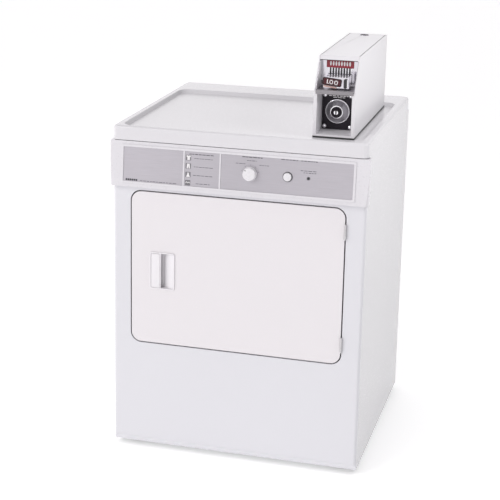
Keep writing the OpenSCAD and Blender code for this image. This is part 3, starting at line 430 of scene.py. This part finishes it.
def new_piece(name, mesh_maker, material, body, bevel=0.0, segments=2):
    """A mesh object built by mesh_maker(bm), smoothed and rounded, and riding on a CAD body."""
    bm = bmesh.new()
    mesh_maker(bm)
    bmesh.ops.recalc_face_normals(bm, faces=bm.faces)
    for face in bm.faces:
        face.smooth = True
    mesh = bpy.data.meshes.new(name)
    bm.to_mesh(mesh)
    bm.free()
    mesh.materials.append(material)
    piece = bpy.data.objects.new(name, mesh)
    bpy.context.scene.collection.objects.link(piece)
    if bevel:
        round_off(piece, bevel, segments)
    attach(piece, body)
    return piece


def round_off(obj, width, segments=2):
    bevel = obj.modifiers.new("edges", "BEVEL")
    bevel.width = width
    bevel.segments = segments
    bevel.limit_method = "ANGLE"
    bevel.angle_limit = EDGE_ANGLE
    bevel.use_clamp_overlap = True
    even = obj.modifiers.new("even_normals", "WEIGHTED_NORMAL")
    even.weight = 100


def frame_at(origin, out):
    """Matrix whose X is right, whose Z points out of a surface, and whose Y is up along it."""
    z = Vector(out).normalized()
    right = Vector((1, 0, 0))
    x = (right - right.dot(z) * z).normalized()
    turn = Matrix((x, z.cross(x), z)).transposed()
    return Matrix.Translation(origin) @ turn.to_4x4()


def half_width(name):
    """Half the width of a CAD node in X, in mm."""
    low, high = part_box(name)
    return (high.x - low.x) / 2 / MM


def add_prism(bm, outline, low, high, place):
    """Closed prism over a 2D outline, in mm, between two heights."""
    rings = [[bm.verts.new(place @ Vector((x * MM, y * MM, h * MM))) for x, y in outline]
             for h in (low, high)]
    bm.faces.new(list(reversed(rings[0])))
    bm.faces.new(rings[1])
    count = len(outline)
    for i in range(count):
        j = (i + 1) % count
        bm.faces.new((rings[0][i], rings[0][j], rings[1][j], rings[1][i]))


def add_ring(bm, outer, inner, low, high, place):
    """Closed frame between two outlines with the same number of points, in mm."""
    loops = [[bm.verts.new(place @ Vector((x * MM, y * MM, h * MM))) for x, y in outline]
             for outline, h in ((outer, low), (outer, high), (inner, high), (inner, low))]
    count = len(outer)
    for k in range(4):
        a, b = loops[k], loops[(k + 1) % 4]
        for i in range(count):
            j = (i + 1) % count
            bm.faces.new((a[i], a[j], b[j], b[i]))


def add_lathe(bm, profile, place, steps=48):
    """Solid turned from a profile of (radius, height) in mm, closed on itself or ending on the axis."""
    rings = []
    for r, h in profile:
        if r < 1e-6:
            rings.append([bm.verts.new(place @ Vector((0, 0, h * MM)))] * steps)
        else:
            rings.append([bm.verts.new(place @ Vector((r * MM * math.cos(2 * math.pi * i / steps),
                                                       r * MM * math.sin(2 * math.pi * i / steps), h * MM)))
                          for i in range(steps)])
    closed = profile[0][0] > 1e-6
    pairs = list(zip(rings, rings[1:])) + ([(rings[-1], rings[0])] if closed else [])
    for a, b in pairs:
        for i in range(steps):
            j = (i + 1) % steps
            corners = []
            for v in (a[i], a[j], b[j], b[i]):
                if v not in corners:
                    corners.append(v)
            if len(corners) > 2:
                bm.faces.new(corners)


def rounded(w, h, r, x=0.0, y=0.0, steps=5):
    """Outline of a rounded rectangle in mm."""
    points = []
    for cx, cy, start in ((w / 2 - r, h / 2 - r, 0), (r - w / 2, h / 2 - r, 90),
                          (r - w / 2, r - h / 2, 180), (w / 2 - r, r - h / 2, 270)):
        for i in range(steps + 1):
            a = math.radians(start + 90 * i / steps)
            points.append((x + cx + r * math.cos(a), y + cy + r * math.sin(a)))
    return points


def ellipse(w, h, x, y, steps=20):
    return [(x + w / 2 * math.cos(2 * math.pi * i / steps), y + h / 2 * math.sin(2 * math.pi * i / steps))
            for i in range(steps)]


def shifted(outline, x, y, k=1.0, turn=0.0):
    """An outline scaled by k, turned, and moved by x and y."""
    c, s = math.cos(turn), math.sin(turn)
    return [(x + k * (c * px - s * py), y + k * (s * px + c * py)) for px, py in outline]


def word_bars(seed, length, height, x=0.0, y=0.0):
    """Plain blocks the length of words, standing for a line of small print without any letters."""
    dice = random.Random(seed)
    bars, at = [], 0.0
    while at < length - 2:
        word = min(dice.uniform(4, 11), length - at)
        bars.append(rounded(word, height, height * 0.3, x - length / 2 + at + word / 2, y, 2))
        at += word + dice.uniform(1.4, 2.2)
    return bars


def print_on(name, outlines, place, material, body, thick=0.12, low=0.0):
    """Thin prisms over some outlines, laid on a surface."""
    def make(bm):
        for outline in outlines:
            add_prism(bm, outline, low, low + thick, place)
    return new_piece(name, make, material, body, bevel=0.00003, segments=1)


def turn_on(name, profile, place, steps, material, body, bevel=0.0):
    """A ring or dome turned about the Z of place."""
    def make(bm):
        add_lathe(bm, profile, place, steps)
    return new_piece(name, make, material, body, bevel)


# ---------- Console ----------

def console_frame():
    """Matrix of the console's sloping face, with its origin at the selector knob."""
    joint = JOINTS["selector_turn"]
    return frame_at(Vector(joint["pos_m"]), -Vector(joint["axis"]))


SHIRT = [(-6, 5), (-3, 6), (-1.5, 5), (1.5, 5), (3, 6), (6, 5), (5.4, 1.8), (3.4, 2.4), (3.4, -6), (-3.4, -6),
         (-3.4, 2.4), (-5.4, 1.8)]
TROUSERS = [(-3.6, 6), (3.6, 6), (4.4, -6), (1.2, -6), (0, 2), (-1.2, -6), (-4.4, -6)]
DRESS = [(-2.2, 6), (-1, 4.6), (1, 4.6), (2.2, 6), (2.0, 1.6), (5.2, -6), (-5.2, -6), (-2.0, 1.6)]
WAVE = [(-6, -1.6), (-3, 1.2), (0, -1.6), (3, 1.2), (6, -1.6), (6, 0.4), (3, 3.2), (0, 0.4), (-3, 3.2),
        (-6, 0.4)]

# Controls and print on the fascia, by X and height above the floor in mm
BUTTON_AT = (136, 813)
LAMP_AT = (190.5, 813)
BADGE_AT = (-286.5, 771.5)
# Figure, height and length of print of each programme
CYCLES = ((SHIRT, 842, 50), (TROUSERS, 820, 52), (DRESS, 797.5, 54), (WAVE, 776, 38))
TILE_X, CYCLE_PRINT_X = -131, -90
POINTER_ANGLE = math.radians(135)
SCALE_R = 22.8                           # radius of the scale round the knob


def build_console(mats):
    face = console_frame()
    slope = (face.to_3x3() @ Vector((0, 1, 0))).z
    zero = face.translation
    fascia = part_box("fascia")
    top = (fascia[1].z - zero.z) / slope / MM

    def at(x_mm, z_mm):
        """Point of the sloping face at an X and a height above the floor, in the face's own frame."""
        return x_mm - zero.x / MM, (z_mm - zero.z / MM) / slope

    ink, dark = mats["ink_grey"], mats["ink_dark"]
    for i, (figure, z, length) in enumerate(CYCLES):
        x, y = at(TILE_X, z)
        print_on(f"cycle_tile_{i}", [rounded(14.5, 14.5, 1.8, x, y)], face, mats["tile_grey"], "cabinet",
                 0.35)
        print_on(f"cycle_figure_{i}", [shifted(figure, x + 0.4, y, 1.02)], face, mats["ink_white"], "cabinet",
                 0.14, 0.34)
        print_on(f"cycle_print_{i}", word_bars(31 + i, length, 1.5, *at(CYCLE_PRINT_X, z - 1)), face, ink,
                 "cabinet")
    lines = (
        ("cycle_heading", 41, -96, top * slope + zero.z / MM - 8, 66, 1.9, dark),
        ("knob_heading", 42, 41, 856, 54, 2.0, dark),
        ("knob_subheading", 43, 40, 847, 26, 1.7, ink),
        ("knob_left_print", 44, 10, 838, 26, 1.4, ink),
        ("knob_right_print", 45, 73, 837, 26, 1.4, ink),
        ("button_print", 46, 139, 857, 44, 2.0, ink),
        ("lamp_heading", 47, 192, 857, 46, 2.0, ink),
        ("lamp_print_upper", 48, 191, 832, 44, 1.6, ink),
        ("lamp_print_lower", 49, 194, 827, 34, 1.6, ink),
        ("name_band_print", 50, -212, 770.5, 102, 1.5, ink),
    )
    for name, seed, x, z, length, height, material in lines:
        print_on(name, word_bars(seed, length, height, *at(x, z)), face, material, "cabinet")
    u, v = at(*BADGE_AT)
    blocks = [rounded(4.6, 5.0, 0.8, u + d, v) for d in (-14, -8.4, -2.8, 2.8, 8.4, 14)]
    print_on("plain_badge", blocks, face, dark, "cabinet", 0.4)

    # Scale round the knob: a ring of dots, with a longer mark at every third
    def scale(bm):
        for i in range(13):
            angle = math.radians(165 - 12.5 * i)
            tick = rounded(1.0, 3.4 if i % 3 == 0 else 1.2, 0.4)
            x, y = SCALE_R * math.cos(angle), SCALE_R * math.sin(angle)
            add_prism(bm, shifted(tick, x, y, 1, angle - math.pi / 2), 0, 0.12, face)
    new_piece("knob_scale", scale, ink, "cabinet", bevel=0.00003, segments=1)

    # Rings round the start button and the lamp; the dark ring round the start button is partly a grey bezel
    # and partly painted shadow
    for name, node, spot, steps, section in (
        ("start_bezel_and_shadow", "start_button", BUTTON_AT, 64,
         [(0.5, -1.0), (2.4, -1.0), (2.6, 0.6), (2.0, 1.6), (1.2, 1.9), (0.6, 1.4)]),
        ("lamp_bezel", "indicator_lens", LAMP_AT, 40,
         [(0.1, -0.2), (1.6, -0.2), (1.6, 0.3), (1.0, 0.9), (0.1, 0.9)]),
    ):
        u, v = at(*spot)
        inner = half_width(node)
        place = face @ Matrix.Translation((u * MM, v * MM, 0))
        turn_on(name, [(inner + r, h) for r, h in section], place, steps, mats["bezel_grey"], "cabinet",
                0.0001)

    # Paint in the knob's pointer notch
    reach = half_width("selector_knob") - 5.2
    x, y = reach * math.cos(POINTER_ANGLE), reach * math.sin(POINTER_ANGLE)
    notch = shifted(rounded(4.6, 1.9, 0.5), x, y, 1, POINTER_ANGLE)
    print_on("knob_pointer", [notch], face, mats["bezel_grey"], "selector", 0.5, 16.25)


# ---------- Coin meter ----------

CHUTE_FACE_Y = -0.2                      # front face of the chute's upright plate
COIN_SLOTS = 8
SLOT_PITCH = 7.2                         # mm
TAG_TILT = math.radians(-6)
TAG_AT = (23.5, 16)                      # middle of the price, in mm from the slide's lower left corner
DIGIT_STROKES = {
    "0": ("top", "upper_left", "upper_right", "lower_left", "lower_right", "bottom"),
    "1": ("upper_right", "lower_right"),
}


def digit(symbol, x, w, h, t):
    """A plain block numeral, w wide and h high about x, built from straight strokes t thick."""
    left, right = x - w / 2 + t / 2, x + w / 2 - t / 2
    strokes = {
        "top": (x, h / 2 - t / 2, w, t), "bottom": (x, t / 2 - h / 2, w, t),
        "upper_left": (left, h / 4, t, h / 2), "upper_right": (right, h / 4, t, h / 2),
        "lower_left": (left, -h / 4, t, h / 2), "lower_right": (right, -h / 4, t, h / 2),
    }
    return [rounded(sw, sh, t * 0.3, sx, sy, 2)
            for sx, sy, sw, sh in (strokes[k] for k in DIGIT_STROKES[symbol])]


def in_row(outline_at, count):
    """Outlines in a row along X at the coin slots' pitch, each made by outline_at(x)."""
    return [outline_at(SLOT_PITCH * (i - (count - 1) / 2)) for i in range(count)]


def build_vault_front(mats):
    plate_low, plate_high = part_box("lock_plate")
    centre = (plate_low + plate_high) / 2
    half_w = (plate_high.x - plate_low.x) / 2 / MM
    half_h = (plate_high.z - plate_low.z) / 2 / MM
    plate = frame_at(Vector((centre.x, plate_low.y, centre.z)), FRONT)
    dome = [(0, 3.2), (2.4, 2.9), (4.4, 1.8), (5.5, 0.4), (5.6, 0.0), (5.6, -0.3), (0, -0.3)]
    for i, (sx, sy) in enumerate(((-1, 1), (1, 1), (-1, -1), (1, -1))):
        place = plate @ Matrix.Translation((sx * (half_w - 6.8) * MM, sy * (half_h - 7) * MM, 0))
        turn_on(f"plate_rivet_{i}", dome, place, 32, mats["rivet_bright"], "vault")
    bars = word_bars(61, 52, 2.2, 2, half_h - 8.0) + word_bars(62, 34, 1.6, 4, half_h - 12.0)
    print_on("plate_print", bars, plate, mats["ink_white"], "vault")

    # Bright plated rim and collar on the lock ring, brighter than the ring's own metal: painted highlights
    ring_r = half_width("lock_ring")
    rim = [(ring_r - 2.4, 3.2), (ring_r - 2.0, 4.3), (ring_r - 0.6, 3.9), (ring_r + 0.3, 2.6),
           (ring_r + 0.4, 0.1), (ring_r - 2.4, 0.1)]
    turn_on("lock_ring_rim_highlight", rim, plate, 64, mats["rivet_bright"], "vault", 0.0002)
    collar = [(14.3, 13.2), (14.5, 14.3), (16.4, 14.1), (17.3, 13.3)]
    turn_on("lock_ring_collar_highlight", collar, plate, 48, mats["rivet_bright"], "vault", 0.0002)

    # Turned face of the lock: a bright disc with a keyway, and a worn ring round it
    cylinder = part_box("lock_cylinder")
    barrel = frame_at(Vector((centre.x, cylinder[0].y, centre.z)), FRONT)

    def key_face(bm):
        for side in (-1, 1):
            arc = [(side * 5.6 * math.cos(math.radians(a)), 5.6 * math.sin(math.radians(a)))
                   for a in range(-74, 75, 8)]
            add_prism(bm, arc if side > 0 else list(reversed(arc)), -0.2, 0.35, barrel)
    new_piece("lock_key_face", key_face, mats["rivet_bright"], "vault_lock", bevel=0.0001)
    ring = [(9.6, -0.2), (12.0, -0.2), (12.0, 0.15), (11.4, 0.5), (10.2, 0.5), (9.6, 0.15)]
    turn_on("lock_barrel_ring", ring, barrel, 48, mats["black_lock"], "vault_lock")


def build_coin_board(mats):
    """Red strip with a mark for each coin slot, black painted shadows in the slots under it, and the tray's
    turned-down lip.
    """
    slide_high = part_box("coin_slide")[1]
    chute_low, chute_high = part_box("coin_chute")
    centre_x = (chute_low.x + chute_high.x) / 2
    board = frame_at(Vector((centre_x, CHUTE_FACE_Y, slide_high.z)), FRONT)
    print_on("coin_strip", [rounded(72, 21, 1.5, 0, 26.5)], board, mats["label_red"], "cabinet",
             0.6)
    marks = in_row(lambda x: ellipse(4.6, 12, x, 27), COIN_SLOTS)
    print_on("coin_marks", marks, board, mats["ink_white"], "cabinet", 0.15, 0.6)
    slots = in_row(lambda x: rounded(3.6, 15.2, 0.6, x, 7.9, 3), COIN_SLOTS)
    print_on("slot_shadows", slots, board, mats["black_plastic"], "cabinet", 1.9, -1.95)

    def comb(bm):
        for tooth in in_row(lambda x: rounded(2.2, 15, 1.0, x, 8.5, 3), COIN_SLOTS + 1):
            add_prism(bm, tooth, 0, 1.6, board)
    new_piece("slot_comb", comb, mats["rivet_bright"], "cabinet", bevel=0.0002)

    low_y, floor_z = chute_low.y / MM, chute_low.z / MM + 2.5
    lip = [(low_y - 2.8, floor_z - 8.5), (low_y - 2.8, floor_z + 1.4), (low_y - 2.0, floor_z + 2.6),
           (low_y - 0.6, floor_z + 3.0), (low_y + 3.4, floor_z + 3.0), (low_y + 6, floor_z + 0.7),
           (CHUTE_FACE_Y / MM - 0.3, floor_z + 0.7), (CHUTE_FACE_Y / MM - 0.3, floor_z + 0.1),
           (low_y + 5.6, floor_z + 0.1), (low_y + 3.2, floor_z + 2.55), (low_y - 0.4, floor_z + 2.55),
           (low_y - 1.6, floor_z + 2.1), (low_y - 2.2, floor_z + 1.0), (low_y - 2.2, floor_z - 8.5)]

    def tray(bm):
        add_prism(bm, lip, chute_low.x / MM + 1.5, chute_high.x / MM - 1.5, ACROSS)
    new_piece("tray_liner", tray, mats["tray_metal"], "cabinet", bevel=0.0003)

    # Painted liners on the chute's cheeks
    top, face, foot = chute_high.z / MM - 5.5, CHUTE_FACE_Y / MM - 1.5, floor_z + 1
    cheek = [(low_y + 3.2, foot), (low_y + 46, top), (face, top), (face, foot)]
    for side, x in (("left", chute_low.x / MM + 1.2), ("right", chute_high.x / MM - 1.6)):
        new_piece(f"cheek_liner_{side}", lambda bm, x=x: add_prism(bm, cheek, x, x + 0.4, ACROSS),
                  mats["white_meter"], "cabinet", bevel=0.0001)


def build_slide(mats):
    """Price tag, its band and tab on the slide's front, a painted highlight strip on the tab, and black
    painted shadows in the slots in its top.
    """
    low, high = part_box("coin_slide")
    front = frame_at(Vector((low.x, low.y, low.z)), FRONT)

    def tilted(outline, x=TAG_AT[0], y=TAG_AT[1]):
        return shifted(outline, x, y, 1, TAG_TILT)

    print_on("price_tag", [tilted(rounded(50, 20, 4.0), 23)], front, mats["tag_dark"], "slide",
             2.4)
    print_on("price_field", [tilted(rounded(43, 14.5, 2.4))], front, mats["tag_field"], "slide",
             0.2, 2.4)
    strokes = [tilted(rounded(2.2, 2.2, 0.5, -9.2, -4.6, 2))]
    for symbol, x in (("1", -16), ("0", -2.2), ("0", 10.4)):
        strokes += [tilted(stroke) for stroke in digit(symbol, x, 9.4, 11.4, 2.4)]
    print_on("price_digits", strokes, front, mats["ink_white"], "slide", 0.15, 2.6)
    print_on("price_band", [tilted(rounded(34, 4.2, 1.4), 18, 3.4)], front, mats["tag_band"], "slide",
             1.2)
    print_on("slide_arm", [[(-6, 19), (0.5, 22), (0.5, 9), (-5, 12)]], front, mats["black_plastic"], "slide",
             2.0)
    print_on("slide_tab", [rounded(8, 24, 3.5, 58, 13.5)], front, mats["black_plastic"], "slide",
             5.0)
    # Bright strip on the tab's right edge: painted highlight
    print_on("slide_tab_highlight", [rounded(2.2, 19, 1.0, 63.4, 14)], front, mats["rivet_bright"], "slide",
             3.0)
    top = frame_at(Vector(((low.x + high.x) / 2, low.y, high.z)), UP)
    slots = in_row(lambda x: rounded(2.8, 25.6, 0.4, x, 21, 2), COIN_SLOTS)
    print_on("slide_slot_shadows", slots, top, mats["black_plastic"], "slide", 1.0, -1.6)


def build_meter_edges(mats):
    """Black strips along the lid's sides, under its front lip and round the foot of the case, painted shadows
    of the gaps there; and a surround for the lid's lock.
    """
    case_low, case_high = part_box("meter_case")
    lid_low, lid_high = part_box("service_lid")
    bead = rounded(1.2, (lid_high.y - lid_low.y) / MM - 16, 0.4, 0, (lid_high.y + lid_low.y) / 2 / MM + 5, 2)
    # Black strips along the lid's sides: painted shadow in the gaps
    for side, x in (("left", lid_low.x / MM + 0.7), ("right", lid_high.x / MM - 0.7)):
        outline = shifted(bead, x, 0)
        new_piece(f"lid_gap_shadow_{side}",
                  lambda bm, o=outline: add_prism(bm, o, lid_high.z / MM - 0.4, lid_high.z / MM + 0.2, FLAT),
                  mats["black_rubber"], "lid", bevel=0.0001)
    # Black strip under the lid's front lip: painted shadow
    edge_y, edge_z = lid_low.y / MM, lid_low.z / MM
    lip_shadow = [(edge_y + 0.4, edge_z + 0.3), (edge_y + 0.4, edge_z - 1.6), (edge_y + 2.6, edge_z - 1.6),
              (edge_y + 2.6, edge_z + 0.3)]
    new_piece("lid_lip_shadow",
              lambda bm: add_prism(bm, lip_shadow, lid_low.x / MM + 2.2, lid_high.x / MM - 2.2, ACROSS),
              mats["black_rubber"], "lid", bevel=0.0002)
    centre = (case_low + case_high) / 2 / MM
    w, d = (case_high.x - case_low.x) / MM, (case_high.y - case_low.y) / MM

    # Black ring round the foot of the case: painted shadow under the meter
    def foot(bm):
        outer = rounded(w + 2.2, d + 2.2, 3, centre.x, centre.y)
        inner = rounded(w - 0.6, d - 0.6, 1.6, centre.x, centre.y)
        add_ring(bm, outer, inner, case_low.z / MM - 2.9, case_low.z / MM + 1.6, FLAT)
    new_piece("case_foot_shadow", foot, mats["black_rubber"], "cabinet", bevel=0.0004)
    joint = JOINTS["lid_lock_turn"]["pos_m"]
    place = frame_at(Vector((joint[0], joint[1], lid_high.z)), UP)
    radius = half_width("lid_lock")
    ring = [(radius + 0.3, -0.2), (radius + 2.6, -0.2), (radius + 2.5, 0.5), (radius + 1.8, 1.1),
            (radius + 0.3, 1.2)]
    turn_on("lid_lock_surround", ring, place, 48, mats["chrome_trim"], "lid")


def build_handle(mats):
    """Raised bead round the cup and a softly domed pad on its grip."""
    low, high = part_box("handle_cup")
    w, h = (high.x - low.x) / MM, (high.z - low.z) / MM
    place = frame_at(Vector(((low.x + high.x) / 2, low.y, (low.z + high.z) / 2)), FRONT)

    def bead(bm):
        add_ring(bm, rounded(w - 0.4, h - 0.4, 5.8), rounded(w - 6.6, h - 6.6, 3.6), -0.3, 1.5, place)
    new_piece("handle_bead", bead, mats["door_trim_painted_lit"], "door", bevel=0.0007, segments=3)

    pad = rounded(23.5, h - 9, 3.4, -w / 2 + 16.6, 0)
    piece = print_on("handle_pad", [pad], place, mats["door_trim_painted_lit"], "door", 2.0, -0.3)
    edges = piece.modifiers["edges"]
    edges.width = 0.0014
    edges.segments = 4


def build_filter_screen(mats):
    """Two layers of woven screen in each of the filter's windows."""
    low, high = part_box("lint_filter")
    place = frame_at(Vector(((low.x + high.x) / 2, low.y + 6 * MM, low.z)), FRONT)
    half = half_width("lint_filter")
    window_w = half - 9
    for side, centre in (("left", -half + 6 + window_w / 2), ("right", 3 + window_w / 2)):
        pane = [rounded(window_w - 0.6, 129.4, 0.8, centre, 73, 2)]
        for end, height in (("", 0.5), ("_back", -0.8)):
            print_on(f"filter_screen_{side}{end}", pane, place, mats["screen_mesh"], "filter",
                     0.3, height)


# ---------- CAD nodes ----------

# Width of each node's rounded edges, in metres
BEVELS = {
    "door_outer": 0.0011, "front_panel": 0.0007, "side_panel_left": 0.0006, "side_panel_right": 0.0006,
    "rear_panel": 0.0004, "console_panel": 0.0011, "fascia_frame": 0.0007, "fascia": 0.0004,
    "handle_cup": 0.0009, "selector_knob": 0.0009, "start_button": 0.0007, "meter_case": 0.0009,
    "service_lid": 0.0008, "lock_plate": 0.0005, "lock_ring": 0.0004, "coin_chute": 0.0005,
    "coin_slide": 0.0006, "drum_baffles": 0.003, "door_inner": 0.0006, "vault_drawer": 0.0004,
    "terminal_cover": 0.0006, "lint_filter": 0.0005, "motor_housing": 0.002,
}
OTHER_BEVEL = 0.0003

# Nodes painted in another material than the one named after their slot; the door, front panel and handle cup
# get lighter copies of the white enamel and trim, as painted light
OWN_MATERIAL = {
    "lock_ring": "turned_ring", "front_panel": "front_enamel_painted_lit", "door_outer": "door_enamel_painted_lit",
    "handle_cup": "door_trim_painted_lit",
}


def dress_nodes(mats):
    for name, node in NODES.items():
        slot_name = OWN_MATERIAL.get(name, node.material_slots[0].material.name)
        node.material_slots[0].material = mats[slot_name]
        weld = node.modifiers.new("weld", "WELD")
        weld.merge_threshold = 0.000002
        round_off(node, BEVELS.get(name, OTHER_BEVEL))


def add_floor():
    g = Graph("studio_floor")
    grain = g.noise(0.004, 3)
    tone = g.mix(g.remap(grain, 0.3, 0.7, 0, 1), (0.90, 0.90, 0.90), (0.93, 0.93, 0.93))
    g.finish(tone, g.remap(grain, 0, 1, 0.5, 0.65), g.bump(grain, 0.00002), Emission_Color=(1, 1, 1, 1),
             Emission_Strength=FLOOR_GLOW)
    bm = bmesh.new()
    bmesh.ops.create_grid(bm, x_segments=8, y_segments=8, size=30)
    mesh = bpy.data.meshes.new("studio_floor")
    bm.to_mesh(mesh)
    bm.free()
    mesh.materials.append(g.material)
    floor = bpy.data.objects.new("studio_floor", mesh)
    bpy.context.scene.collection.objects.link(floor)


def main():
    add_camera()
    add_lights()
    mats = build_materials()
    add_floor()
    dress_nodes(mats)
    build_console(mats)
    build_vault_front(mats)
    build_coin_board(mats)
    build_slide(mats)
    build_meter_edges(mats)
    build_handle(mats)
    build_filter_screen(mats)


main()
